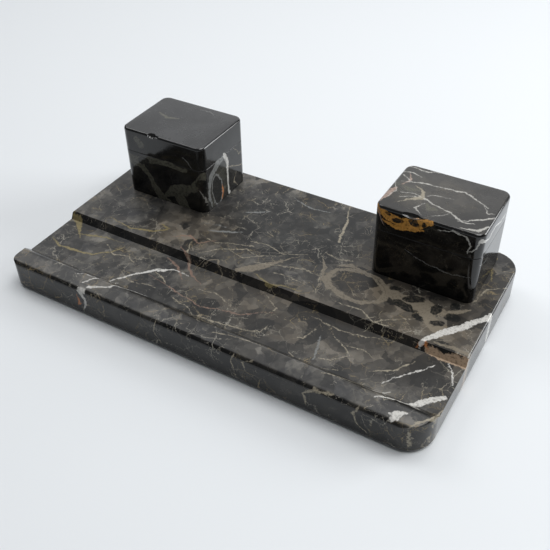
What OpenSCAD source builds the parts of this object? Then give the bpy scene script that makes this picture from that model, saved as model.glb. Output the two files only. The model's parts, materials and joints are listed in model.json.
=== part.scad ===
// Double inkwell desk stand in polished marble: a slab with a pen tray along its front
// and two square wells with hinged lids, each bolted to the slab from below.
// The origin is on the surface that the stand rests on, under the middle of the slab.
// +X runs along the slab to the right, +Y to the back, +Z up.

/* [Base slab] */
// Length of the slab from end to end
base_l = 350; // [320:2:400]
// Depth of the slab from front to back
base_w = 196; // [186:1:220]
// Thickness of the slab
base_t = 26.5; // [24:0.5:34]
// Radius of the slab's corners seen from above, all but the front left one
corner_r = 20; // [10:1:28]
// Radius of the front left corner seen from above
front_left_r = 7; // [4:1:20]
// Radius along the slab's upper and lower edges
edge_r = 2; // [1:0.5:3]
// Radius along the front of the lip
lip_front_r = 4; // [2:0.5:5]
// Radius along the crest of the lip
lip_crest_r = 5; // [3:0.5:6]
// Distance from the front of the slab to the crest of the lip
lip_crest = 13.5; // [12:0.5:15]
// Height that the lip loses from its crest to its front
lip_fall = 1.5; // [0.5:0.25:2]

/* [Pen tray] */
// Depth of the tray below the top of the slab
tray_depth = 6.4; // [4:0.2:9]
// Distance from the middle of the slab forward to the tray's rear edge
tray_back = 24; // [22:1:26]
// Width of the tray across its floor
tray_floor = 48; // [40:1:50]
// Width of the slope behind the floor
tray_rear_slope = 3.5; // [2:0.5:5]

/* [Wells] */
// Distance from the middle of the slab to the middle of the left well
left_well_x = 113; // [90:1:125]
// Distance from the middle of the slab to the middle of the right well
right_well_x = 118; // [90:1:125]
// Distance from the middle of the slab back to the middle of each well
well_y = 58; // [56:0.5:59]
// Width of a well along the slab
well_w = 81; // [76:1:90]
// Depth of a well from front to back
well_d = 63; // [62:1:68]
// Height of the well block without its lid
block_h = 41; // [40:1:60]
// Thickness of the lid
lid_h = 20.5; // [18:0.5:26]
// Radius of the upright edges
upright_r = 7; // [4:0.5:9]
// Radius along the top edge of the lid
lid_edge_r = 2.2; // [1:0.2:2.6]
// Radius of the fine edges where lid and block meet
seam_r = 0.4; // [0.2:0.1:0.8]

/* [Ink liners] */
// Outside radius of the glass liner
liner_r = 22.5; // [18:0.5:22.5]
// Thickness of the liner's wall
liner_wall = 2.5; // [1.5:0.5:3]
// Height by which the liner's rim stands above the block
rim_proud = 1.5; // [0.5:0.5:3]

/* [Hinges] */
// Width of the hinge along the seam
hinge_w = 44; // [40:1:48]
// Radius of the hinge pin
pin_r = 1.25; // [1:0.05:1.4]
// Thickness of the brass leaves
leaf_t = 1.6; // [1.2:0.1:1.8]
// Radial clearance between the pin and the knuckles that turn on it
pin_gap = 0.05; // [0.02:0.01:0.1]

/* [Feet] */
// Radius of the felt pads
pad_r = 12; // [8:1:16]
// Thickness of the felt pads
pad_t = 1.5; // [1:0.5:3]

/* [Hidden] */
$fn = 96;
left = -1;
right = 1;
hair = 0.01;

slab_top = pad_t + base_t;
floor_front = -tray_back - tray_rear_slope - tray_floor;
corner_w = 70;
seam_z = slab_top + block_h;
rear_y = well_y + well_d/2;

// Place along X of the left or the right well
function well_at(side) = side < 0 ? -left_well_x : right_well_x;

bore_r = liner_r + 1;
bore_depth = 31;
rim_r = liner_r + 3.5;
rim_t = 3 + rim_proud;
ledge_r = rim_r + 1;
ledge_depth = rim_t - rim_proud;
liner_lift = 0.8;
liner_floor = 3;
liner_round = 5;
recess_r = ledge_r + 1;
recess_depth = 7;

bolt_r = 3;
bolt_hole_r = 3.5;
nut_r = 5.8;
bolt_head_h = 4;
nut_h = 5;
washer_r = 8;
washer_t = 1.2;
head_pocket_r = 9;
head_pocket_depth = 6;
nut_pocket_r = 11;
nut_pocket_depth = 9;
bolt_tail = 1.2;

barrel_r = pin_r + leaf_t;
barrel_gap = 0.45;
leaf_sink = 0.25;
leaf_h = 14;
leaf_start = 3.2;
leaf_gap = 0.3;
leaf_corner = 2;
knuckles = 5;
knuckle_gap = 0.3;
knuckle_l = (hinge_w - (knuckles - 1)*knuckle_gap)/knuckles;
axis_y = rear_y + barrel_r - leaf_sink - leaf_t;
leaf_face_y = rear_y - axis_y;
pin_head_r = 2.2;
pin_head_t = 1.2;
screw_x = hinge_w/2 - 6;
screw_z = 10.7;
screw_r = 1.35;
screw_head_r = 2.7;
screw_l = 8.5;
plug_r = 2.5;
plug_l = 9;
slot_w = 0.6;

pad_x = 145;
pad_y = 72;

// Half of a block's side outline, with its upper and lower outside corners rounded
module half_outline(w, h, low_r, top_r) {
    square([w - low_r, h/2]);
    translate([0, h/2]) square([w - top_r, h/2]);
    translate([0, low_r]) square([w, h - low_r - top_r]);
    translate([w - low_r, low_r]) circle(low_r);
    translate([w - top_r, h - top_r]) circle(top_r);
}

module full_outline(w, h, low_r, top_r) {
    half_outline(w/2, h, low_r, top_r);
    mirror([1, 0]) half_outline(w/2, h, low_r, top_r);
}

// Block with round upright edges and rounded upper and lower edges, standing on z = 0
module soft_block(w, d, h, r, low_r, top_r) {
    rotate([90, 0, 90])
        linear_extrude(w - 2*r, center = true) full_outline(d, h, low_r, top_r);
    rotate([90, 0, 0])
        linear_extrude(d - 2*r, center = true) full_outline(w, h, low_r, top_r);
    for (x = [-1, 1], y = [-1, 1])
        translate([x*(w/2 - r), y*(d/2 - r), 0])
            rotate_extrude() half_outline(r, h, low_r, top_r);
}

// Point on a circle, from its middle, radius and angle
function on_circle(c, r, a) = [c[0] + r*cos(a), c[1] + r*sin(a)];

// Outline cut away above the lip, in the plane of y and z: the lip rises from the tray
// floor to its crest, then falls a little to its round front
module lip_cut() {
    floor_z = base_t - tray_depth;
    foot = [floor_front, floor_z];
    crest = [-base_w/2 + lip_crest, base_t - lip_crest_r];
    front = [-base_w/2 + lip_front_r, base_t - lip_fall - lip_front_r];
    to_crest = crest - foot;
    rise = atan2(to_crest[1], to_crest[0]) - asin(lip_crest_r/norm(to_crest));
    to_front = front - crest;
    top = atan2(to_front[1], to_front[0]) - acos((lip_crest_r - lip_front_r)/norm(to_front));
    difference() {
        translate([-base_w/2 - 1, floor_z]) square([floor_front + base_w/2 + 2, tray_depth + 1]);
        translate(crest) circle(lip_crest_r);
        translate(front) circle(lip_front_r);
        polygon([
            foot,
            on_circle(crest, lip_crest_r, rise - 90),
            crest,
            on_circle(crest, lip_crest_r, top),
            on_circle(front, lip_front_r, top),
            front,
            [-base_w/2, front[1]],
            [-base_w/2, floor_z - 1],
            [floor_front, floor_z - 1]
        ]);
    }
}

// Outline of the pen tray, in the plane of y and z, with its rear slope carried on above the slab
module tray_cut() {
    floor_z = base_t - tray_depth;
    polygon([
        [-tray_back - tray_rear_slope, floor_z],
        [-tray_back + tray_rear_slope, base_t + tray_depth],
        [floor_front, base_t + tray_depth],
        [floor_front, floor_z]
    ]);
}

module base_slab() {
    color([0.13, 0.13, 0.13])
    translate([0, 0, pad_t])
    difference() {
        union() {
            soft_block(base_l, base_w, base_t, corner_r, edge_r, edge_r);
            translate([-base_l/2 + corner_w/2, -base_w/2 + corner_w/2, 0])
                soft_block(corner_w, corner_w, base_t, front_left_r, edge_r, edge_r);
        }
        rotate([90, 0, 90]) linear_extrude(base_l + 2, center = true) tray_cut();
        rotate([90, 0, 90]) linear_extrude(base_l + 2, center = true) lip_cut();
        for (side = [left, right])
            translate([well_at(side), well_y, 0]) {
                translate([0, 0, -1]) cylinder(h = base_t + 2, r = bolt_hole_r);
                translate([0, 0, -1]) cylinder(h = nut_pocket_depth + 1, r = nut_pocket_r);
            }
    }
}

// Felt disc under one corner of the slab
module pad(x, y) {
    color([0.12, 0.24, 0.16])
    translate([x*pad_x, y*pad_y, 0]) cylinder(h = pad_t, r = pad_r);
}

// Pocket in the stone for the hinge: the barrel's hollow and the bed of one leaf
module hinge_pocket(up) {
    barrel_room = hinge_w + 2*pin_head_t + 1.6;
    bed_depth = leaf_t + leaf_sink;
    bed_start = up > 0 ? 0 : -leaf_start - leaf_h - leaf_gap;
    translate([0, axis_y, seam_z]) {
        rotate([0, 90, 0])
            cylinder(h = barrel_room, r = barrel_r + barrel_gap, center = true);
        translate([-hinge_w/2 - leaf_gap, leaf_face_y - bed_depth, bed_start])
            cube([hinge_w + 2*leaf_gap, bed_depth + 1, leaf_start + leaf_h + leaf_gap]);
    }
}

// Holes in the stone for the plugs that the hinge screws bite in
module plug_holes(up) {
    for (x = [-screw_x, screw_x])
        translate([x, axis_y + leaf_face_y - leaf_t, seam_z + up*screw_z])
            rotate([90, 0, 0]) cylinder(h = plug_l + leaf_sink + 0.2, r = plug_r + 0.05);
}

module well_block(side) {
    color([0.1, 0.1, 0.1])
    translate([well_at(side), 0, 0])
    difference() {
        translate([0, well_y, slab_top])
            soft_block(well_w, well_d, block_h, upright_r, seam_r, seam_r);
        translate([0, well_y, seam_z - bore_depth]) cylinder(h = bore_depth + 1, r = bore_r);
        translate([0, well_y, seam_z - ledge_depth]) cylinder(h = ledge_depth + 1, r = ledge_r);
        translate([0, well_y, seam_z - bore_depth - head_pocket_depth])
            cylinder(h = head_pocket_depth + 1, r = head_pocket_r);
        translate([0, well_y, slab_top - 1]) cylinder(h = block_h, r = bolt_hole_r);
        hinge_pocket(-1);
        plug_holes(-1);
    }
}

module lid(side) {
    color([0.12, 0.12, 0.12])
    translate([well_at(side), 0, 0])
    difference() {
        translate([0, well_y, seam_z])
            soft_block(well_w, well_d, lid_h, upright_r, seam_r, lid_edge_r);
        translate([0, well_y, seam_z - 1]) cylinder(h = recess_depth + 1, r = recess_r);
        hinge_pocket(1);
        plug_holes(1);
    }
}

// Glass cup with a flat rim that rests on the ledge at the top of the bore
module ink_liner(side) {
    low_z = seam_z - bore_depth + liner_lift;
    top_z = seam_z + rim_proud;
    cup_h = top_z - low_z;
    inner_r = liner_r - liner_wall;
    edge = 0.8;
    color([0.75, 0.85, 0.85, 0.4])
    translate([well_at(side), well_y, low_z])
    rotate_extrude() difference() {
        union() {
            square([liner_r - edge, cup_h]);
            translate([0, edge]) square([liner_r, cup_h - edge]);
            translate([liner_r - edge, edge]) circle(edge);
            translate([0, cup_h - rim_t]) square([rim_r - edge, rim_t]);
            translate([0, cup_h - rim_t]) square([rim_r, rim_t - edge]);
            translate([rim_r - edge, cup_h - edge]) circle(edge);
        }
        translate([0, liner_floor]) square([inner_r - liner_round, cup_h]);
        translate([0, liner_floor + liner_round]) square([inner_r, cup_h]);
        intersection() {
            translate([inner_r - liner_round, liner_floor + liner_round]) circle(liner_round);
            square([inner_r + 1, cup_h]);
        }
    }
}

// Hexagon bolt: its head lies in the floor of the well, its tail in the slab's underside
module well_bolt(side) {
    head_z = seam_z - bore_depth - head_pocket_depth + washer_t;
    tail_z = pad_t + nut_pocket_depth - washer_t - nut_h - bolt_tail;
    color([0.62, 0.62, 0.6])
    translate([well_at(side), well_y, 0]) {
        translate([0, 0, tail_z]) cylinder(h = head_z - tail_z + hair, r = bolt_r);
        translate([0, 0, head_z]) cylinder(h = bolt_head_h, r = nut_r, $fn = 6);
    }
}

// Flat washers under the bolt's head and above its nut
module bolt_washers(side) {
    head_z = seam_z - bore_depth - head_pocket_depth;
    nut_z = pad_t + nut_pocket_depth - washer_t;
    color([0.66, 0.66, 0.64])
    for (z = [head_z, nut_z])
        translate([well_at(side), well_y, z]) difference() {
            cylinder(h = washer_t, r = washer_r);
            translate([0, 0, -1]) cylinder(h = washer_t + 2, r = bolt_r + 0.2);
        }
}

module bolt_nut(side) {
    nut_z = pad_t + nut_pocket_depth - washer_t - nut_h;
    color([0.62, 0.62, 0.6])
    translate([well_at(side), well_y, nut_z]) difference() {
        cylinder(h = nut_h, r = nut_r, $fn = 6);
        translate([0, 0, -1]) cylinder(h = nut_h + 2, r = bolt_r + 0.05);
    }
}

// One knuckle of the hinge with the web that joins it to its leaf, from x = 0 along X
module knuckle(up) {
    web_h = leaf_start + 1;
    rotate([0, 90, 0]) cylinder(h = knuckle_l, r = barrel_r);
    translate([0, leaf_face_y - leaf_t, up > 0 ? 0 : -web_h]) cube([knuckle_l, leaf_t, web_h]);
}

// Brass leaf; up is 1 for the lid's leaf with the even knuckles, -1 for the block's leaf
module hinge_leaf(side, up, first, bore) {
    plate_z = up > 0 ? leaf_start : -leaf_start - leaf_h;
    pitch = knuckle_l + knuckle_gap;
    color([0.72, 0.55, 0.26])
    translate([well_at(side), axis_y, seam_z])
    difference() {
        union() {
            translate([-hinge_w/2, leaf_face_y - leaf_t, plate_z]) cube([hinge_w, leaf_t, leaf_h]);
            for (i = [first : 2 : knuckles - 1])
                translate([-hinge_w/2 + i*pitch, 0, 0]) knuckle(up);
        }
        rotate([0, 90, 0]) cylinder(h = hinge_w + 2, r = bore, center = true);
        for (x = [-screw_x, screw_x])
            translate([x, leaf_face_y, up*screw_z]) rotate([90, 0, 0]) {
                translate([0, 0, -1]) cylinder(h = leaf_t + 2, r = screw_r + 0.15);
                cylinder(h = leaf_t, r1 = screw_head_r + 0.1, r2 = screw_r + 0.1);
            }
    }
}

// Pin through the knuckles, with a domed head at each end
module hinge_pin(side) {
    half = hinge_w/2 + 0.2;
    dome_r = 3;
    color([0.75, 0.58, 0.28])
    translate([well_at(side), axis_y, seam_z]) {
        rotate([0, 90, 0]) cylinder(h = 2*half, r = pin_r, center = true);
        for (end = [-1, 1]) intersection() {
            translate([end*(half + pin_head_t - dome_r), 0, 0])
                rotate([0, 90, 0]) sphere(dome_r);
            translate([end*(half + pin_head_t/2), 0, 0])
                rotate([0, 90, 0]) cylinder(h = pin_head_t, r = pin_head_r, center = true);
        }
    }
}

// Two countersunk slotted screws that hold one leaf
module leaf_screws(side, up) {
    color([0.74, 0.57, 0.28])
    for (x = [-screw_x, screw_x])
        translate([well_at(side) + x, axis_y + leaf_face_y, seam_z + up*screw_z])
            rotate([90, 0, 0]) difference() {
                union() {
                    cylinder(h = leaf_t - 0.1, r1 = screw_head_r, r2 = screw_r);
                    cylinder(h = screw_l, r = screw_r);
                }
                translate([-screw_head_r - 1, -slot_w/2, -1])
                    cube([2*screw_head_r + 2, slot_w, 1.6]);
            }
}

// Two wooden plugs, let into the stone, that the screws bite in
module leaf_plugs(side, up) {
    color([0.5, 0.36, 0.22])
    for (x = [-screw_x, screw_x])
        translate([well_at(side) + x, axis_y + leaf_face_y - leaf_t - 0.1, seam_z + up*screw_z])
            rotate([90, 0, 0]) difference() {
                cylinder(h = plug_l, r = plug_r);
                translate([0, 0, -1]) cylinder(h = plug_l, r = screw_r + 0.05);
            }
}

base_slab();
pad(-1, -1);  // front_left_pad
pad(1, -1);  // front_right_pad
pad(-1, 1);  // rear_left_pad
pad(1, 1);  // rear_right_pad
well_block(left);  // left_well_block
well_block(right);  // right_well_block
ink_liner(left);  // left_ink_liner
ink_liner(right);  // right_ink_liner
well_bolt(left);  // left_well_bolt
well_bolt(right);  // right_well_bolt
bolt_washers(left);  // left_bolt_washers
bolt_washers(right);  // right_bolt_washers
bolt_nut(left);  // left_bolt_nut
bolt_nut(right);  // right_bolt_nut
hinge_leaf(left, -1, 0, pin_r + 0.02);  // left_hinge_block_leaf
hinge_leaf(right, -1, 0, pin_r + 0.02);  // right_hinge_block_leaf
hinge_pin(left);  // left_hinge_pin
hinge_pin(right);  // right_hinge_pin
leaf_screws(left, -1);  // left_block_screws
leaf_screws(right, -1);  // right_block_screws
leaf_plugs(left, -1);  // left_block_plugs
leaf_plugs(right, -1);  // right_block_plugs
lid(left);  // left_lid
lid(right);  // right_lid
hinge_leaf(left, 1, 1, pin_r + pin_gap);  // left_hinge_lid_leaf
hinge_leaf(right, 1, 1, pin_r + pin_gap);  // right_hinge_lid_leaf
leaf_screws(left, 1);  // left_lid_screws
leaf_screws(right, 1);  // right_lid_screws
leaf_plugs(left, 1);  // left_lid_plugs
leaf_plugs(right, 1);  // right_lid_plugs
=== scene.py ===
import json
import math

import bpy
from mathutils import Matrix, Vector


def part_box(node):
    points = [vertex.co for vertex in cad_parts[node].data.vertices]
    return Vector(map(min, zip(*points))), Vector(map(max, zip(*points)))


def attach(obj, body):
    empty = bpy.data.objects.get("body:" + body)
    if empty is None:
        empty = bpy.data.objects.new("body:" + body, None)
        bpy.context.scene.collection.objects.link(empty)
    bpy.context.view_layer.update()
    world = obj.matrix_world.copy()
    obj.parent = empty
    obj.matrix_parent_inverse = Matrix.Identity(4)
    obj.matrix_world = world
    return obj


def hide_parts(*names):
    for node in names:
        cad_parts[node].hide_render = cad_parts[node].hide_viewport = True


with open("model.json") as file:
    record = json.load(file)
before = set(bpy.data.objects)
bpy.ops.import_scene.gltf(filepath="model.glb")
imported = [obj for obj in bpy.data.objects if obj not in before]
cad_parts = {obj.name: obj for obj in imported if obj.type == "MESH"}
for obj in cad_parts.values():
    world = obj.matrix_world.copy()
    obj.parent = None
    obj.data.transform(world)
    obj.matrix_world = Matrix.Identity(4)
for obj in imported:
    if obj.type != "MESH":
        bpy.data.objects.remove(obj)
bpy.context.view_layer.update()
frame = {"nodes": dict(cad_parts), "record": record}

# camera: where it stands, in metres, and how it is turned, in degrees
camera = {
    "lens": 50.6,
    "place": (0.2502, -0.3984, 0.4062),
    "azimuth": 31.12,
    "elevation": 40.05,
    "roll": -1.11,
}


def makeCamera(c):
    data = bpy.data.cameras.new("camera")
    data.lens = c["lens"]
    data.sensor_width = 36
    data.clip_start, data.clip_end = 0.02, 20
    eye = bpy.data.objects.new("camera", data)
    bpy.context.scene.collection.objects.link(eye)
    a, e = math.radians(c["azimuth"]), math.radians(c["elevation"])
    back = Vector((math.sin(a) * math.cos(e), -math.cos(a) * math.cos(e), math.sin(e)))
    turn = (-back).to_track_quat("-Z", "Y").to_matrix()
    turn = turn @ Matrix.Rotation(math.radians(c["roll"]), 3, "Z")
    eye.matrix_world = Matrix.Translation(c["place"]) @ turn.to_4x4()
    bpy.context.scene.camera = eye


makeCamera(camera)
bpy.context.scene.view_settings.view_transform = "Standard"
print("camera ready")


# shader maths: a Field is one output, and an expression on Fields adds the nodes
class Field:
    def __init__(self, graph, socket):
        self.graph, self.socket = graph, socket

    def math(self, operation, *others):
        return self.graph.node("ShaderNodeMath", {"operation": operation},
                               dict(enumerate((self, *others))))

    def vec(self, operation, *others, out=0):
        return self.graph.node("ShaderNodeVectorMath", {"operation": operation},
                               dict(enumerate((self, *others))), out)

    def __add__(self, other):
        return self.math("ADD", other)

    def __radd__(self, other):
        return self.math("ADD", other)

    def __sub__(self, other):
        return self.math("SUBTRACT", other)

    def __rsub__(self, other):
        return self.graph.node("ShaderNodeMath", {"operation": "SUBTRACT"}, {0: other, 1: self})

    def __mul__(self, other):
        return self.math("MULTIPLY", other)

    def __rmul__(self, other):
        return self.math("MULTIPLY", other)

    def __truediv__(self, other):
        return self.math("DIVIDE", other)

    def __rtruediv__(self, other):
        return self.graph.node("ShaderNodeMath", {"operation": "DIVIDE"}, {0: other, 1: self})

    def __abs__(self):
        return self.math("ABSOLUTE")

    def nearer(self, other):
        return self.math("MINIMUM", other)

    def clamped(self):
        return self.graph.node("ShaderNodeClamp", {}, {0: self})

    def ramp(self, low, high, start=0.0, end=1.0):
        return self.graph.node("ShaderNodeMapRange", {"interpolation_type": "SMOOTHSTEP"},
                               {0: self, 1: low, 2: high, 3: start, 4: end})


class Graph:
    def __init__(self, name):
        self.material = bpy.data.materials.new(name)
        self.material.use_nodes = True
        self.tree = self.material.node_tree
        self.tree.nodes.clear()

    def node(self, kind, settings=None, values=None, out=0):
        made = self.tree.nodes.new(kind)
        for key, value in (settings or {}).items():
            if key == "stops":
                ramp = made.color_ramp
                while len(ramp.elements) < len(value):
                    ramp.elements.new(0.5)
                for element, (place, colour) in zip(ramp.elements, value):
                    element.position, element.color = place, colour
            else:
                setattr(made, key, value)
        for key, value in (values or {}).items():
            if isinstance(value, Field):
                self.tree.links.new(value.socket, made.inputs[key])
            else:
                made.inputs[key].default_value = value
        return Field(self, made.outputs[out]) if made.outputs else None

    def mix(self, factor, a, b, blend="MIX"):
        pair = [(*c, 1.0) if isinstance(c, tuple) and len(c) == 3 else c for c in (a, b)]
        return self.node("ShaderNodeMix", {"data_type": "RGBA", "blend_type": blend, "clamp_factor": True},
                         {0: factor, 6: pair[0], 7: pair[1]}, out=2)

    def noise(self, where, scale, detail=3.0, rough=0.5, distortion=0.0, out=0):
        return self.node("ShaderNodeTexNoise", {}, {
            "Vector": where, "Scale": scale, "Detail": detail, "Roughness": rough,
            "Distortion": distortion}, out)

    def bump(self, height, distance, strength=1.0, normal=None):
        values = {"Height": height, "Distance": distance, "Strength": strength}
        if normal:
            values["Normal"] = normal
        return self.node("ShaderNodeBump", {}, values)

    def finish(self, **values):
        names = {"colour": "Base Color", "rough": "Roughness", "metal": "Metallic", "normal": "Normal",
                 "ior": "IOR", "transmission": "Transmission Weight", "sheen": "Sheen Weight",
                 "specular": "Specular IOR Level"}
        surface = self.node("ShaderNodeBsdfPrincipled", {}, {names[k]: v for k, v in values.items()})
        self.node("ShaderNodeOutputMaterial", {}, {0: surface})
        return self.material


# floor, sky and lamps
studio = {
    "floorColour": (0.70, 0.725, 0.745),
    "floorRough": 0.6,
    "skyColour": (0.95, 0.97, 1.0),
    "skyStrength": 0.17,
}
# each softbox: place, what it points at, width and height in metres, watts, colour
softboxes = {
    "overhead": ((0.35, 0.20, 1.5), (0.0, 0.0, 0.0), (1.3, 0.8), 17.0, (1.0, 1.0, 1.0)),
    "backdrop": ((-0.8, 1.45, 1.25), (0.0, 0.0, 0.05), (2.6, 1.9), 8.5, (0.97, 0.98, 1.0)),
    "rightSide": ((1.35, 1.1, 0.75), (0.2, 0.1, 0.0), (1.0, 0.9), 23.0, (0.98, 0.99, 1.0)),
    "highLeft": ((-1.15, 0.2, 1.4), (0.0, 0.0, 0.05), (0.6, 1.1), 6.0, (1.0, 1.0, 1.0)),
    "horizon": ((-0.9, 2.3, 0.4), (0.0, 0.0, 0.1), (3.4, 0.7), 7.0, (0.97, 0.98, 1.0)),
}


def makeStudio(s):
    bpy.ops.object.select_all(action="DESELECT")
    bpy.ops.mesh.primitive_plane_add(size=8)
    floor = bpy.context.object
    floor.name = "floor"
    g = Graph("paleFloor")
    g.finish(colour=(*s["floorColour"], 1), rough=s["floorRough"], specular=0.3)
    floor.data.materials.append(g.material)
    world = bpy.data.worlds.new("studio")
    bpy.context.scene.world = world
    world.use_nodes = True
    sky = world.node_tree.nodes["Background"]
    sky.inputs["Color"].default_value = (*s["skyColour"], 1)
    sky.inputs["Strength"].default_value = s["skyStrength"]
    for name, (place, target, size, watts, colour) in softboxes.items():
        data = bpy.data.lights.new(name, "AREA")
        data.shape = "RECTANGLE"
        data.size, data.size_y = size
        data.energy, data.color = watts, colour
        lamp = bpy.data.objects.new(name, data)
        bpy.context.scene.collection.objects.link(lamp)
        aim = (Vector(target) - Vector(place)).to_track_quat("-Z", "Y")
        lamp.matrix_world = Matrix.Translation(place) @ aim.to_matrix().to_4x4()


makeStudio(studio)
print("studio ready")


# stone: a cloudy dark ground, fine threads, and veins laid one by one, all in millimetres
faceNormals = {"top": Vector((0, 0, 1)), "front": Vector((0, -1, 0)), "right": Vector((1, 0, 0))}
faceRight = {"top": Vector((1, 0, 0)), "front": Vector((1, 0, 0)), "right": Vector((0, 1, 0))}
faceAxes = {"top": (1, 1, 0), "front": (1, 0, 1), "right": (0, 1, 1)}


class Stone:
    def __init__(self, name, look):
        self.g = Graph(name)
        self.look = look
        here = self.g.node("ShaderNodeTexCoord", {}, {}, "Object")
        self.facing = self.g.node("ShaderNodeTexCoord", {}, {}, "Normal")
        self.real = here.vec("MULTIPLY", (1000, 1000, 1000))
        self.far = self.real.vec("ADD", look["shift"])
        middle = (0.5, 0.5, 0.5)
        slow = self.g.noise(self.far, look["driftScale"], 3, 0.6, out="Color").vec("SUBTRACT", middle)
        fast = self.g.noise(self.far, look["jitterScale"], 5, 0.72, out="Color").vec("SUBTRACT", middle)
        fast = fast.vec("MULTIPLY", (look["jitter"],) * 3)
        self.bent = slow.vec("MULTIPLY_ADD", (look["drift"],) * 3, fast).vec("ADD", self.real)
        self.flat = {}
        for face, axes in faceAxes.items():
            self.flat[face] = self.bent.vec("MULTIPLY", axes)
        self.gaps = {}
        self.shades = []

    # how far a point is outside the nearest vein of one kind on one face
    def keep(self, kind, face, gap):
        key = (kind, face)
        self.gaps[key] = self.gaps[key].nearer(gap) if key in self.gaps else gap

    # a place on a face, from its two measures across it
    def at(self, face, across, up):
        return Vector({"top": (across, up, 0), "front": (across, 0, up), "right": (0, across, up)}[face])

    # a vein through the points, with a width at each of them or one width for all
    def vein(self, kind, face, points, widths):
        if not isinstance(widths, tuple):
            middle = [widths] * (len(points) - 2)
            widths = (widths * 0.4, *middle, widths * 0.2)
        for i in range(len(points) - 1):
            a, b = self.at(face, *points[i]), self.at(face, *points[i + 1])
            thick, thin = widths[i] / 2, widths[i + 1] / 2
            local = self.flat[face].vec("SUBTRACT", tuple(a))
            t = local.vec("DOT_PRODUCT", tuple((b - a) / (b - a).length_squared), out=1)
            t = t.clamped()
            nearest = t.graph.node("ShaderNodeVectorMath", {"operation": "SCALE"},
                                   {0: tuple(b - a), "Scale": t})
            away = local.vec("DISTANCE", nearest, out=1)
            self.keep(kind, face, t.math("MULTIPLY_ADD", thick - thin, away) - thick)

    def reach(self, face, centre, radii, angle):
        turn = Matrix.Rotation(math.radians(angle), 3, faceNormals[face])
        first = turn @ faceRight[face]
        second = faceNormals[face].cross(first)
        local = self.flat[face].vec("SUBTRACT", tuple(self.at(face, *centre)))
        u = local.vec("DOT_PRODUCT", tuple(first / radii[0]), out=1)
        v = local.vec("DOT_PRODUCT", tuple(second / radii[1]), out=1)
        return (u * u + v * v).math("SQRT")

    # a filled oval, or with band a ring of that width
    def oval(self, kind, face, centre, radii, angle=0.0, band=None):
        gap = (self.reach(face, centre, radii, angle) - 1.0) * (sum(radii) / 2)
        self.keep(kind, face, abs(gap) - band / 2 if band else gap)

    # a wide soft patch of another ground colour
    def shade(self, colour, face, centre, radii, angle=0.0, strength=0.8):
        mask = self.reach(face, centre, radii, angle).ramp(0.6, 1.3, strength, 0.0)
        self.shades.append((mask, colour))

    # colours of warped cells
    def cells(self, scale):
        return self.g.node("ShaderNodeTexVoronoi", {}, {"Vector": self.bent, "Scale": scale}, "Color")

    # thin lines along the edges of warped cells
    def cracks(self, scale, width, strength):
        edge = self.g.node("ShaderNodeTexVoronoi", {"feature": "DISTANCE_TO_EDGE"},
                           {"Vector": self.bent, "Scale": scale})
        return edge.ramp(0.0, width, strength, 0.0)

    def finish(self):
        g, look = self.g, self.look
        shifted = self.bent.vec("ADD", look["shift"])
        cloud = g.noise(shifted, look["cloudScale"], 5, 0.62).ramp(*look["cloudEdge"])
        grain = g.noise(self.far, look["grainScale"], 5, 0.62, 0.8).ramp(*look["grainEdge"])
        ground = g.mix(cloud * look["clouds"], look["dark"], look["cloud"])
        ground = g.mix(grain * look["grains"], ground, look["grain"])
        for mask, colour in self.shades:
            ground = g.mix(mask * grain.ramp(0.0, 1.0, 1.0, 0.6), ground, look["colours"][colour])
        # broken pieces of older stone, each with its own tone
        pieces = self.cells(look["pieceScale"])
        toneAndShade = pieces.vec("DOT_PRODUCT", (0.5, 0.5, 0.0), out=1).ramp(0.15, 0.85, *look["pieceTone"])
        small = self.cells(look["chipScale"])
        toneAndShade = toneAndShade * small.vec("DOT_PRODUCT", (0.0, 0.5, 0.5), out=1).ramp(0.1, 0.9, *look["chipTone"])
        up = self.facing.vec("DOT_PRODUCT", (0, 0, 1), out=1).ramp(0.75, 1.0)
        # the upright faces are painted darker than the tops by the uprightShade factor: painted shade, not
        # a colour of the stone
        toneAndShade = toneAndShade * up.ramp(0.0, 1.0, look["uprightShade"], 1.0)
        ground = g.mix(1.0, ground, self.grey(toneAndShade), "MULTIPLY")
        # the upper faces have a fine haze of handling and dust, the upright ones keep their polish
        smear = g.noise(self.far, look["smearScale"], 4, 0.65).ramp(0.3, 0.7)
        ground = g.mix(up * smear.ramp(0.0, 1.0, 0.6, 1.0) * look["haze"], ground, look["hazeColour"])
        # threads: edges of warped cells, and the level lines of a slow noise, kept in some regions
        region = g.noise(self.far, look["regionScale"], 3, 0.55).ramp(*look["regionEdge"])
        thin = self.cracks(look["cellScale"], look["cellWidth"], 1.0)
        fine = self.cracks(look["fineScale"], look["cellWidth"], 0.8)
        level = g.noise(shifted, look["longScale"], 5, 0.6)
        long = abs(level - 0.5).ramp(0.0, look["longWidth"], 1.0, 0.0)
        breaks = g.noise(self.far, look["breakScale"], 4, 0.65).ramp(*look["breakEdge"])
        thin = (thin * region).math("MAXIMUM", fine * region * region).math("MAXIMUM", long)
        warmth = g.noise(self.far, look["tintScale"], 2, 0.5).ramp(0.42, 0.58)
        tint = g.mix(warmth, look["thread"], look["thread2"])
        ground = g.mix(thin * breaks * look["threads"], ground, tint)
        ragged = g.noise(self.real, look["raggedScale"], 5, 0.7) * look["ragged"] - look["ragged"] / 2
        wear = g.noise(self.far, look["wearScale"], 5, 0.72).ramp(0.30, 0.55, look["faded"], 1.0)
        veins = thin * 0.5
        for kind in look["order"]:
            for face, out in faceNormals.items():
                if (kind, face) not in self.gaps:
                    continue
                mask = (0.5 - (self.gaps[kind, face] + ragged) / look["soft"]).clamped() * wear
                if face not in look["through"]:
                    mask = mask * self.facing.vec("DOT_PRODUCT", tuple(out), out=1).ramp(0.15, 0.6)
                    depth = self.real.vec("DOT_PRODUCT", tuple(out), out=1)
                    deep = look["level"][face] - look["depth"]
                    mask = mask * depth.ramp(deep - 3, deep)
                ground = g.mix(mask, ground, look["colours"][kind])
                if kind in ("white", "cream"):
                    veins = veins.math("MAXIMUM", mask)
        stretched = self.real.vec("MULTIPLY", (1, 4, 1))
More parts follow.
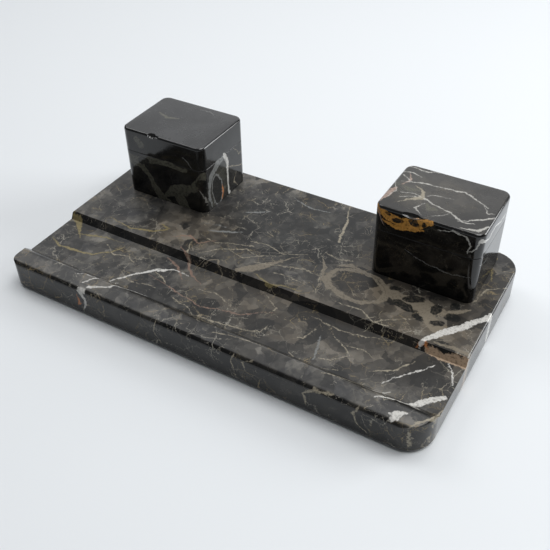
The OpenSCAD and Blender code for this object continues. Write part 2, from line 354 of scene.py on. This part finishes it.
        scuffs = g.noise(stretched, look["scuffScale"], 3, 0.7).ramp(0.58, 0.75)
        rough = smear.ramp(0.0, 1.0, *look["rough"]) + up * look["roughTop"] + veins * 0.06 + scuffs * 0.05
        wave = g.noise(self.real, look["waveScale"], 2, 0.5)
        normal = g.bump(wave, look["waveHeight"], 0.10)
        normal = g.bump(scuffs, look["scuffHeight"], 0.15, normal)
        pits = g.noise(self.real, look["pitScale"], 2, 0.5).ramp(0.70, 0.78)
        normal = g.bump(pits, -look["pitDepth"], 0.4, normal)
        return g.finish(colour=ground, rough=rough, ior=look["ior"], normal=normal)

    def grey(self, value):
        return self.g.node("ShaderNodeCombineXYZ", {}, {0: value, 1: value, 2: value})


# colours are linear
stoneColours = {
    "white": (0.52, 0.51, 0.48),
    "grey": (0.16, 0.165, 0.16),
    "cream": (0.27, 0.24, 0.18),
    "gold": (0.19, 0.155, 0.07),
    "ochre": (0.25, 0.12, 0.025),
    "tan": (0.175, 0.150, 0.112),
    "olive": (0.085, 0.083, 0.064),
    "brown": (0.065, 0.053, 0.038),
    "sand": (0.36, 0.26, 0.175),
    "pale": (0.40, 0.39, 0.36),
    "pink": (0.19, 0.125, 0.095),
    "orange": (0.40, 0.15, 0.05),
    "dark": (0.005, 0.0055, 0.005),
}
veinOrder = ["brown", "olive", "tan", "sand", "ochre", "dark", "gold", "pink", "grey", "cream", "orange",
             "pale", "white"]

slabLook = {
    "shift": (310, 120, 40),
    "drift": 6.0,
    "driftScale": 0.045,
    "jitter": 5.0,
    "jitterScale": 0.17,
    "cloudScale": 0.030,
    "cloudEdge": (0.42, 0.60),
    "grainScale": 0.11,
    "grainEdge": (0.40, 0.66),
    "smearScale": 0.02,
    "regionScale": 0.024,
    "regionEdge": (0.40, 0.56),
    "longScale": 0.026,
    "breakScale": 0.09,
    "breakEdge": (0.43, 0.56),
    "tintScale": 0.03,
    "raggedScale": 0.32,
    "wearScale": 0.5,
    "scuffScale": 0.22,
    "scuffHeight": 0.00004,
    "waveScale": 0.05,
    "waveHeight": 0.0006,
    "pitScale": 0.9,
    "pitDepth": 0.0001,
    "depth": 9,
    "level": {"top": 28, "front": 98, "right": 175},
    "dark": (0.010, 0.010, 0.0105),
    "cloud": (0.060, 0.056, 0.049),
    "clouds": 0.85,
    "grain": (0.085, 0.079, 0.067),
    "grains": 0.40,
    "pieceScale": 0.06,
    "chipScale": 0.156,
    "pieceTone": (0.22, 1.9),
    "chipTone": (0.50, 1.5),
    # how dark the upright faces are painted: painted shade
    "uprightShade": 0.22,
    "ior": 1.46,
    "cellScale": 0.05,
    "fineScale": 0.115,
    "cellWidth": 0.018,
    "longWidth": 0.0035,
    "thread": (0.32, 0.30, 0.25),
    "thread2": (0.22, 0.17, 0.09),
    "threads": 0.85,
    "ragged": 3.0,
    "soft": 0.6,
    "faded": 0.35,
    "haze": 0.15,
    "hazeColour": (0.060, 0.060, 0.059),
    "rough": (0.10, 0.18),
    "roughTop": 0.24,
    "through": ("top",),
    "order": veinOrder,
    "colours": stoneColours,
}


def slabStone():
    s = Stone("slabMarble", slabLook)
    # ground: neutral and dark behind the middle, brownish in front and to the right
    s.shade("dark", "top", (5, 48), (60, 42), 0, 0.85)
    s.shade("brown", "top", (30, -45), (70, 30), 0, 0.6)
    s.shade("brown", "top", (125, 10), (70, 70), 20, 0.7)
    s.shade("brown", "top", (-70, 5), (40, 26), 20, 0.6)
    s.shade("dark", "top", (-10, -72), (50, 14), 0, 0.6)
    s.shade("dark", "top", (100, -40), (40, 12), 10, 0.5)
    # fan of white veins from the left of the front lip
    s.vein("white", "top", [(-106, -92), (-95, -77), (-84, -62), (-71, -48), (-60, -41), (-44, -40)],
           (1.2, 0.8, 1.4, 2.4, 1.2, 0.3))
    s.vein("white", "top", [(-99, -94), (-81, -84), (-66, -77), (-56, -76)], (2.0, 1.0, 1.6, 0.2))
    s.vein("cream", "top", [(-71, -48), (-60, -52), (-52, -58)], 1.0)
    s.vein("white", "top", [(-122, -79), (-110, -76)], 1.1)
    s.vein("white", "top", [(-116, -86), (-101, -81)], 1.3)
    s.vein("white", "top", [(-95, -80), (-85, -74)], 1.0)
    s.oval("white", "front", (-103, 25), (4.0, 3.0), 0)
    s.vein("white", "front", [(-103, 24), (-100, 15), (-103, 6)], (3.6, 2.4, 0.4))
    s.vein("orange", "front", [(-108, 20), (-106, 12), (-109, 8)], (0.6, 2.6, 0.4))
    # gold veins on the left of the tray and along the step
    s.vein("gold", "top", [(-171, -55), (-160, -60), (-148, -60), (-128, -57), (-115, -46), (-111, -36)],
           (0.4, 1.4, 2.2, 1.4, 1.6, 0.3))
    s.vein("gold", "top", [(-157, -39), (-145, -37), (-133, -34), (-116, -32)], (0.4, 1.6, 1.0, 0.3))
    s.vein("gold", "top", [(-173, -25), (-166, -27), (-158, -36), (-150, -44)], (2.4, 5.0, 2.4, 0.3))
    s.vein("gold", "top", [(-140, -17), (-117, -20), (-96, -15), (-88, -5), (-100, -2)],
           (0.4, 1.5, 1.8, 1.2, 0.3))
    s.vein("cream", "top", [(-128, -40), (-112, -48), (-100, -44), (-88, -50)], 0.8)
    # pink and brown knot over the step, left of the middle
    s.vein("pink", "top", [(-80, -12), (-68, -4), (-56, -8), (-45, 2)], (0.5, 1.8, 1.2, 0.3))
    s.vein("pink", "top", [(-66, -20), (-54, -26), (-48, -34), (-31, -43)], (0.6, 2.4, 2.2, 0.4))
    s.vein("pink", "top", [(-72, -30), (-58, -36), (-46, -46)], 1.8)
    s.vein("cream", "top", [(-62, -10), (-58, -22), (-50, -30)], 1.0)
    s.vein("cream", "top", [(-50, -20), (-38, -9), (-19, 3), (-4, 0)], 0.9)
    s.vein("tan", "top", [(-40, -26), (-30, -20), (-20, -30)], 1.6)
    # long brown thread across the tray
    s.vein("pink", "top", [(-71, -54), (-43, -59), (-17, -65), (-6, -61), (14, -58), (35, -43)], 0.8)
    s.vein("cream", "top", [(-13, -75), (8, -72), (26, -70), (37, -66), (38, -59)], 0.9)
    s.vein("cream", "top", [(-40, -66), (-22, -72), (-5, -84)], 0.6)
    # tan patch and its arms near the middle of the step
    s.vein("tan", "top", [(-10, -23), (-2, -16), (6, -6), (14, 4), (22, 15)], (3.0, 8.0, 5.0, 1.6, 0.4))
    s.vein("gold", "top", [(4, -20), (20, -25), (30, -21), (46, -21)], (0.5, 2.4, 1.2, 0.3))
    s.vein("cream", "top", [(-4, -8), (14, -3), (34, 4), (50, 2)], 0.8)
    s.vein("tan", "top", [(39, 25), (46, 14), (54, -10)], (0.4, 2.6, 0.4))
    s.vein("cream", "top", [(40, 30), (52, 28), (62, 31)], 0.8)
    # grey streaks between the wells
    s.vein("grey", "top", [(-60, 9), (-46, 14), (-32, 21)], (0.4, 3.0, 0.4))
    s.vein("grey", "top", [(-66, 16), (-48, 20)], 1.6)
    s.vein("grey", "top", [(-47, 44), (-36, 50), (-27, 57)], (0.4, 2.2, 0.4))
    s.vein("grey", "top", [(-20, 84), (0, 78), (18, 80)], 1.4)
    s.vein("cream", "top", [(27, 98), (33, 80), (36, 70), (42, 47)], (0.5, 0.9, 1.6, 2.4))
    # ring and dark pebbles in tan ground, in front of the right well
    s.oval("tan", "top", (78, 7), (24, 16), -6, band=3.2)
    s.oval("tan", "top", (76, 5), (23, 16), -6, band=2.4)
    s.vein("tan", "top", [(56, 14), (53, 2), (60, -8)], (1.0, 5.0, 3.0))
    s.vein("tan", "top", [(54, 20), (62, 26), (72, 24)], (1.0, 4.0, 1.0))
    s.shade("brown", "top", (78, 6), (24, 14), 0, 0.9)
    s.vein("tan", "top", [(98, 16), (112, 8), (128, 10), (146, 8)], (4.0, 12.0, 14.0, 5.0))
    s.vein("tan", "top", [(122, 16), (136, 0), (146, -8), (152, -14)], (5.0, 11.0, 9.0, 3.0))
    s.vein("tan", "top", [(146, 8), (154, 16), (160, 22)], (6.0, 4.0, 1.0))
    pebbles = [((104, 18), (4, 2.5), 20), ((120, 13), (8, 3.5), 25), ((116, 3), (9, 4), -15),
               ((138, 10), (3.5, 5.5), 0), ((144, -3), (5, 3), 20), ((151, 7), (6, 4), 20),
               ((149, 19), (4, 5), 0), ((130, -4), (5, 3), -20)]
    for centre, radii, turn in pebbles:
        s.oval("dark", "top", centre, radii, turn)
    s.vein("cream", "top", [(70, -18), (90, -16), (104, -24), (118, -22)], 0.9)
    s.vein("cream", "top", [(100, -30), (109, -19), (128, -6)], 0.9)
    # thick white streak at the right end, with rust at its lower end
    s.vein("white", "top", [(141, -26), (148, -15), (156, -4), (166, 10), (175, 22)],
           (2.4, 5.0, 5.4, 4.2, 6.0))
    s.vein("grey", "top", [(146, -17), (160, 2)], 1.0)
    s.vein("sand", "top", [(146, -26), (160, -27), (176, -27)], (2.5, 4.0, 5.0))
    s.vein("tan", "top", [(150, -21), (163, -20), (176, -22)], (1.5, 4.0, 3.0))
    s.vein("orange", "top", [(139, -27), (143, -24), (148, -26)], (0.8, 3.0, 0.5))
    # white veins at the right of the tray
    s.vein("white", "top", [(150, -80), (160, -71), (172, -60)], (0.8, 4.6, 3.0))
    s.vein("white", "top", [(134, -86), (146, -80), (158, -76)], (0.4, 2.2, 1.4))
    s.vein("pale", "top", [(126, -80), (134, -78), (140, -72)], (0.4, 1.6, 0.4))
    s.vein("white", "top", [(132, -68), (146, -48), (156, -35)], 1.3)
    s.vein("cream", "top", [(120, -62), (134, -54), (142, -40)], 1.2)
    s.vein("white", "top", [(164, -30), (169, -38), (173, -48)], 1.2)
    s.vein("grey", "top", [(75, -48), (79, -60), (82, -71)], (0.4, 2.2, 1.0))
    s.vein("cream", "top", [(58, -60), (66, -56), (70, -44)], 0.7)
    s.vein("cream", "top", [(96, -84), (112, -80), (124, -74)], 1.4)
    # white blotch on the lip at the right, a dark pebble beside it
    s.vein("white", "top", [(146, -93), (152, -92), (158, -88)], (1.0, 7.0, 1.0))
    s.vein("white", "top", [(150, -96), (155, -91)], (3.0, 1.0))
    s.oval("dark", "top", (166, -86), (6, 5), 20)
    s.vein("cream", "top", [(163, -96), (173, -84), (175, -70)], (1.0, 2.4, 0.6))
    # fine threads laid one by one where the stone is most broken
    for points in ([(-62, 2), (-44, -2), (-30, 4), (-14, 10)], [(-30, -4), (-16, -8), (-2, 2), (12, 10)],
                   [(-20, 14), (-6, 16), (10, 12), (30, 22)], [(14, -12), (30, -10), (48, -12)],
                   [(46, 10), (50, -4), (56, -16)], [(60, -34), (84, -36), (104, -34), (124, -28)],
                   [(84, -44), (96, -50), (104, -60)], [(94, -48), (108, -46), (118, -50)],
                   [(100, -58), (92, -66), (84, -68)], [(-30, -50), (-12, -48), (4, -54)],
                   [(20, -30), (34, -38), (30, -50)], [(-96, -60), (-80, -68), (-58, -64)],
                   [(2, -88), (30, -84), (60, -80)], [(64, -74), (84, -78), (100, -72)]):
        s.vein("cream", "top", points, 0.6)
    # veins that run down over the lip
    s.vein("cream", "front", [(-33, 26), (-36, 16), (-31, 5)], 0.9)
    s.vein("cream", "front", [(35, 27), (32, 18), (34, 6)], 1.0)
    s.vein("cream", "front", [(50, 27), (41, 22), (44, 13)], 1.0)
    s.vein("cream", "front", [(110, 27), (96, 24), (88, 17), (91, 6)], (0.8, 2.0, 1.6, 0.5))
    s.vein("cream", "front", [(129, 27), (125, 18), (128, 11), (136, 5)], (0.6, 1.6, 1.2, 0.4))
    # near the back corner on the right
    s.vein("cream", "top", [(175, 60), (163, 49), (158, 30)], 1.0)
    s.vein("gold", "top", [(155, 93), (158, 76), (162, 61)], 1.2)
    return s.finish()


slabMarble = slabStone()
print("slab stone ready")

leftLook = dict(slabLook)
leftLook.update({
    "shift": (-90, 400, 210),
    "drift": 4.0,
    "level": {"top": 89.5, "front": -26.5, "right": -72.5},
    "dark": (0.004, 0.0042, 0.0045),
    "cloud": (0.010, 0.010, 0.010),
    "grain": (0.020, 0.021, 0.021),
    "grains": 0.3,
    "pieceTone": (0.6, 1.4),
    "cellWidth": 0.010,
    "longWidth": 0.002,
    "thread": (0.10, 0.10, 0.09),
    "thread2": (0.08, 0.075, 0.06),
    "threads": 0.35,
    "ragged": 1.2,
    "uprightShade": 0.6,
    "ior": 1.54,
    "soft": 0.8,
    "haze": 0.85,
    "hazeColour": (0.045, 0.046, 0.047),
    "rough": (0.07, 0.13),
    "roughTop": 0.16,
    "through": (),
})


def leftWellStone():
    s = Stone("leftWellMarble", leftLook)
    # broad olive bands between black pebbles, on the front of the block
    s.vein("olive", "front", [(-152, 62), (-143, 60), (-136, 58)], (8.0, 10.0, 7.0))
    s.vein("olive", "front", [(-138, 62), (-124, 65), (-106, 67), (-90, 66)], (5.0, 6.0, 5.0, 3.0))
    s.vein("olive", "front", [(-136, 57), (-130, 50), (-126, 40), (-118, 31), (-114, 28)],
           (5.0, 5.0, 6.0, 9.0, 10.0))
    s.vein("olive", "front", [(-114, 34), (-104, 42), (-92, 46), (-82, 50)], (3.0, 10.0, 12.0, 6.0))
    s.vein("olive", "front", [(-100, 38), (-96, 32), (-92, 28)], (10.0, 12.0, 8.0))
    s.vein("olive", "front", [(-84, 50), (-78, 58), (-74, 64)], (6.0, 7.0, 6.0))
    s.oval("dark", "front", (-133, 62), (6, 3.6), 10)
    s.oval("dark", "front", (-83, 38), (7, 8), 20)
    s.oval("dark", "front", (-77, 56), (4, 4), 0)
    s.vein("olive", "front", [(-138, 82), (-134, 78)], (6.0, 7.0))
    s.vein("pale", "front", [(-78, 50), (-74, 42), (-73, 34)], 0.6)
    # short light flaw on the front of the lid, at the right
    s.vein("grey", "front", [(-92, 78), (-87, 74), (-83, 69)], 0.9)
    # grey ground, an eye with a pale rim and a thick white vein on the right face
    s.vein("grey", "right", [(34, 50), (38, 60), (48, 66), (58, 68)], (4.0, 6.0, 6.0, 3.0))
    s.vein("grey", "right", [(34, 50), (33, 40), (36, 30)], (3.0, 3.0, 1.0))
    s.shade("olive", "right", (47, 42), (15, 26), 0, 0.7)
    s.oval("dark", "right", (36, 56), (4, 8), -15)
    s.oval("grey", "right", (45, 42), (7.0, 15), 4, band=1.6)
    s.oval("dark", "right", (45, 42), (6.2, 14), 4)
    s.vein("orange", "right", [(51, 30), (53, 37), (52, 44)], (0.8, 2.2, 0.4))
    s.vein("white", "right", [(57, 70), (61, 62), (62, 50), (61, 40), (63, 29)],
           (2.6, 3.4, 2.8, 2.0, 2.6))
    s.shade("dark", "right", (67, 42), (6, 18), 0, 0.7)
    s.vein("cream", "right", [(62, 56), (74, 50), (90, 44)], 0.8)
    s.vein("cream", "right", [(72, 68), (80, 60), (90, 57)], 0.6)
    s.vein("cream", "right", [(74, 44), (70, 36), (76, 29)], 0.8)
    # faint marks on top of the lid
    s.vein("grey", "top", [(-112, 82), (-103, 84), (-96, 80)], 0.7)
    s.vein("olive", "top", [(-140, 62), (-128, 58), (-118, 62)], 3.0)
    return s.finish()


rightLook = dict(slabLook)
rightLook.update({
    "shift": (700, -210, 60),
    "drift": 5.0,
    "level": {"top": 89.5, "front": -26.5, "right": 158.5},
    "dark": (0.004, 0.004, 0.0042),
    "cloud": (0.008, 0.008, 0.0078),
    "grain": (0.012, 0.0115, 0.011),
    "pieceTone": (0.8, 1.2),
    "cellWidth": 0.014,
    "longWidth": 0.003,
    "thread": (0.14, 0.125, 0.095),
    "threads": 0.25,
    "ragged": 1.6,
    "uprightShade": 0.35,
    "ior": 1.54,
    "colours": dict(stoneColours, ochre=(0.55, 0.27, 0.06), pink=(0.30, 0.22, 0.18)),
    "haze": 0.75,
    "hazeColour": (0.062, 0.060, 0.056),
    "rough": (0.06, 0.12),
    "roughTop": 0.18,
    "through": (),
})


def rightWellStone():
    s = Stone("rightWellMarble", rightLook)
    s.shade("tan", "top", (112, 58), (30, 22), 10, 0.35)
    s.shade("olive", "top", (92, 60), (14, 20), 10, 0.5)
    s.vein("olive", "top", [(86, 58), (92, 56), (98, 58)], (2.0, 6.0, 2.0))
    s.vein("olive", "top", [(110, 44), (114, 40), (118, 42)], (2.0, 5.0, 2.0))
    # pale threads over the top of the lid, meeting in a knot left of the middle
    s.vein("pale", "top", [(79, 86), (92, 84), (104, 88)], 0.9)
    s.vein("pale", "top", [(78, 76), (86, 78), (94, 75)], 1.2)
    s.vein("pale", "top", [(80, 72), (90, 66), (98, 68)], 0.8)
    s.vein("pale", "top", [(82, 64), (98, 68), (112, 70), (128, 72), (140, 66), (150, 60)],
           (0.4, 1.1, 0.8, 1.4, 1.0, 0.4))
    s.vein("cream", "top", [(92, 38), (98, 44), (104, 50), (102, 58), (94, 64)],
           (0.6, 1.6, 4.4, 1.6, 0.4))
    s.vein("pale", "top", [(106, 50), (116, 46), (128, 43), (140, 36), (148, 38)],
           (2.0, 0.7, 1.1, 1.6, 0.4))
    s.vein("pale", "top", [(136, 36), (148, 44), (157, 52)], (0.6, 1.6, 0.6))
    s.vein("pale", "top", [(88, 50), (98, 52), (104, 50)], 0.8)
    s.vein("pale", "top", [(90, 44), (98, 48), (104, 50)], 0.7)
    s.vein("pale", "top", [(104, 52), (112, 58), (124, 60)], 0.7)
    s.vein("pale", "top", [(108, 44), (104, 36), (112, 30)], 0.7)
    s.vein("pale", "top", [(146, 62), (152, 54), (156, 56)], 0.7)
    s.vein("pale", "top", [(128, 43), (124, 36), (118, 33)], 0.7)
    s.vein("pink", "top", [(78, 34), (80, 44), (82, 54)], (4.0, 7.0, 2.0))
    s.vein("pink", "top", [(84, 60), (88, 68), (84, 76)], 1.6)
    s.vein("pale", "top", [(78, 62), (84, 50), (82, 40)], 0.7)
    # ochre patch with dark spots, high on the front of the lid at the left
    s.vein("ochre", "front", [(80, 86), (88, 83), (98, 81), (110, 83), (121, 87)],
           (6.0, 7.0, 8.0, 8.0, 4.0))
    s.vein("ochre", "front", [(84, 79), (92, 76), (104, 77), (116, 80)], (1.0, 3.0, 3.0, 1.0))
    s.oval("dark", "front", (96, 82), (4.5, 2.0), 8)
    s.oval("dark", "front", (108, 84), (4.5, 2.4), -10)
    s.oval("dark", "front", (88, 85), (2.5, 1.4), 0)
    s.oval("dark", "front", (116, 84), (2.0, 2.0), 0)
    s.vein("pink", "front", [(80, 88), (82, 80), (86, 74)], 1.4)
    # white vein that curls round the front corner on the right
    s.vein("pale", "front", [(126, 84), (136, 87), (146, 86), (150, 80), (149, 72)],
           (0.4, 1.0, 1.4, 1.2, 0.4))
    s.vein("pale", "front", [(156, 86), (154, 78), (150, 74)], 1.0)
    s.vein("pale", "top", [(140, 29), (152, 31), (157, 40)], (0.6, 2.4, 1.0))
    s.vein("white", "right", [(28, 84), (40, 80), (52, 82), (70, 76), (86, 77)],
           (3.0, 1.4, 1.8, 1.2, 0.6))
    s.vein("grey", "right", [(30, 62), (44, 58), (58, 60)], 0.9)
    # faint thread low on the front of the block
    s.vein("grey", "front", [(104, 58), (122, 52), (140, 50), (156, 53)], 0.5)
    return s.finish()


leftWellMarble = leftWellStone()
rightWellMarble = rightWellStone()
print("well stones ready")

glassLook = {
    "clear": (0.80, 0.90, 0.87),
    "ink": (0.010, 0.012, 0.045),
    "inkHeight": (13.0, 22.0),
    "rough": (0.02, 0.16),
}


# clear glass, with a film of dried ink low down in the cup
def linerGlass(look, floor):
    g = Graph("linerGlass")
    here = g.node("ShaderNodeTexCoord", {}, {}, "Object").vec("MULTIPLY", (1000, 1000, 1000))
    height = here.vec("DOT_PRODUCT", (0, 0, 1), out=1) - floor
    streaks = g.noise(here.vec("MULTIPLY", (1, 1, 0.25)), 0.35, 4, 0.6)
    film = (height + streaks * 14).ramp(*look["inkHeight"], 0.85, 0.0)
    spots = g.noise(here, 0.8, 2, 0.5).ramp(0.62, 0.72, 0.0, 0.25)
    mask = film.math("MAXIMUM", spots)
    swirl = g.noise(here, 0.06, 2, 0.5)
    rough = mask.ramp(0.0, 1.0, *look["rough"])
    colour = g.mix(mask, look["clear"], look["ink"])
    normal = g.bump(swirl, 0.0008, 0.15)
    return g.finish(colour=colour, rough=rough, ior=1.5, transmission=0.92, normal=normal)


metalLooks = {
    "hingeBrass": {
        "bright": (0.62, 0.42, 0.15),
        "dull": (0.16, 0.10, 0.035),
        "rough": (0.18, 0.42),
        "lines": (1, 14, 1),
        "tarnishScale": 0.22,
        "speckScale": 1.6,
    },
    "boltSteel": {
        "bright": (0.48, 0.47, 0.45),
        "dull": (0.13, 0.09, 0.06),
        "rough": (0.22, 0.5),
        "lines": (12, 12, 1),
        "tarnishScale": 0.22,
        "speckScale": 1.6,
    },
}


# worn metal: fine tool lines, darker where hands don't reach
def wornMetal(name, look):
    g = Graph(name)
    here = g.node("ShaderNodeTexCoord", {}, {}, "Object").vec("MULTIPLY", (1000, 1000, 1000))
    tarnish = g.noise(here, look["tarnishScale"], 4, 0.65).ramp(0.42, 0.68)
    specks = g.noise(here, look["speckScale"], 3, 0.6).ramp(0.58, 0.72)
    lines = g.noise(here.vec("MULTIPLY", look["lines"]), 0.5, 2, 0.5)
    mask = (tarnish * 0.7).math("MAXIMUM", specks * 0.6)
    rough = mask.ramp(0.0, 1.0, *look["rough"]) + lines * 0.08
    normal = g.bump(lines, 0.00003, 0.3)
    normal = g.bump(specks, -0.00004, 0.4, normal)
    colour = g.mix(mask, look["bright"], look["dull"])
    return g.finish(colour=colour, rough=rough, metal=1.0, normal=normal)


woodLook = {
    "pale": (0.34, 0.20, 0.095),
    "dark": (0.15, 0.075, 0.032),
    "ringScale": 1.1,
}


# end grain rings of the hardwood plugs
def plugWood(look):
    g = Graph("plugWood")
    here = g.node("ShaderNodeTexCoord", {}, {}, "Object").vec("MULTIPLY", (1000, 1000, 1000))
    rings = g.node("ShaderNodeTexWave", {"wave_type": "RINGS", "rings_direction": "Y"}, {
        "Vector": here, "Scale": look["ringScale"], "Distortion": 3.0, "Detail": 3.0}, "Fac")
    pores = g.noise(here.vec("MULTIPLY", (1, 0.15, 1)), 2.4, 3, 0.6).ramp(0.55, 0.75)
    colour = g.mix(rings, look["pale"], look["dark"])
    colour = g.mix(pores * 0.6, colour, look["dark"])
    rough = pores.ramp(0.0, 1.0, 0.55, 0.75)
    return g.finish(colour=colour, rough=rough, normal=g.bump(pores, -0.0001, 0.5))


feltLook = {
    "deep": (0.012, 0.045, 0.022),
    "lint": (0.06, 0.12, 0.075),
    "fibre": 3.2,
}


# pressed green felt, fibres in all directions
def padFelt(look):
    g = Graph("padFelt")
    here = g.node("ShaderNodeTexCoord", {}, {}, "Object").vec("MULTIPLY", (1000, 1000, 1000))
    one = g.noise(here.vec("MULTIPLY", (1, 0.2, 1)), look["fibre"], 3, 0.7)
    two = g.noise(here.vec("MULTIPLY", (0.2, 1, 1)), look["fibre"], 3, 0.7)
    fibres = one.math("MAXIMUM", two)
    patch = g.noise(here, 0.25, 3, 0.6).ramp(0.35, 0.7)
    colour = g.mix(fibres.ramp(0.5, 0.75), look["deep"], look["lint"])
    colour = g.mix(patch * 0.4, colour, look["deep"])
    rough = fibres.ramp(0.3, 0.7, 0.95, 0.8)
    return g.finish(colour=colour, rough=rough, sheen=0.4, normal=g.bump(fibres, 0.0003, 0.7))


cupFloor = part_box("left_ink_liner")[0][2] * 1000
finishes = {
    "slab_marble": slabMarble,
    "left_well_marble": leftWellMarble,
    "right_well_marble": rightWellMarble,
    "ink_glass": linerGlass(glassLook, cupFloor),
    "hinge_brass": wornMetal("hingeBrass", metalLooks["hingeBrass"]),
    "bolt_steel": wornMetal("boltSteel", metalLooks["boltSteel"]),
    "plug_wood": plugWood(woodLook),
    "pad_felt": padFelt(feltLook),
}
for part in frame["record"]["subparts"]:
    node = frame["nodes"][part["node"]]
    for place in range(len(node.data.materials)):
        node.data.materials[place] = finishes[part["material_slot"]]
print("finishes assigned")

# chips in the front edges of the lids: place and size of each cutter in metres, and its turn in degrees
chips = {
    "left_lid": [((-0.1220, 0.0264, 0.0906), (0.0044, 0.0042, 0.0046), 14),
                 ((-0.1168, 0.0262, 0.0902), (0.0030, 0.0026, 0.0024), -20)],
    "right_lid": [((0.1050, 0.0262, 0.0896), (0.0085, 0.0034, 0.0030), 4)],
}


def chippedLid(node, cuts, material):
    lid = bpy.data.objects.new(node + "Chipped", frame["nodes"][node].data.copy())
    bpy.context.scene.collection.objects.link(lid)
    bpy.ops.object.select_all(action="DESELECT")
    lid.select_set(True)
    bpy.context.view_layer.objects.active = lid
    bpy.ops.mesh.customdata_custom_splitnormals_clear()
    bpy.ops.object.mode_set(mode="EDIT")
    bpy.ops.mesh.select_all(action="SELECT")
    bpy.ops.mesh.remove_doubles(threshold=0.000001)
    bpy.ops.object.mode_set(mode="OBJECT")
    for place, size, turn in cuts:
        bpy.ops.object.select_all(action="DESELECT")
        bpy.ops.mesh.primitive_ico_sphere_add(subdivisions=2, radius=1, location=place)
        cutter = bpy.context.object
        cutter.scale = size
        cutter.rotation_euler = (math.radians(turn), math.radians(turn / 2), math.radians(turn))
        bpy.ops.object.transform_apply(location=True, rotation=True, scale=True)
        cut = lid.modifiers.new("chip", "BOOLEAN")
        cut.operation = "DIFFERENCE"
        cut.solver = "EXACT"
        cut.object = cutter
        bpy.ops.object.select_all(action="DESELECT")
        lid.select_set(True)
        bpy.context.view_layer.objects.active = lid
        bpy.ops.object.modifier_apply(modifier=cut.name)
        bpy.data.objects.remove(cutter)
    bpy.ops.object.shade_smooth_by_angle(angle=math.radians(28))
    lid.data.materials.clear()
    lid.data.materials.append(finishes[material])
    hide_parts(node)
    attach(lid, node)


chippedLid("left_lid", chips["left_lid"], "left_well_marble")
chippedLid("right_lid", chips["right_lid"], "right_well_marble")
print("lids chipped")
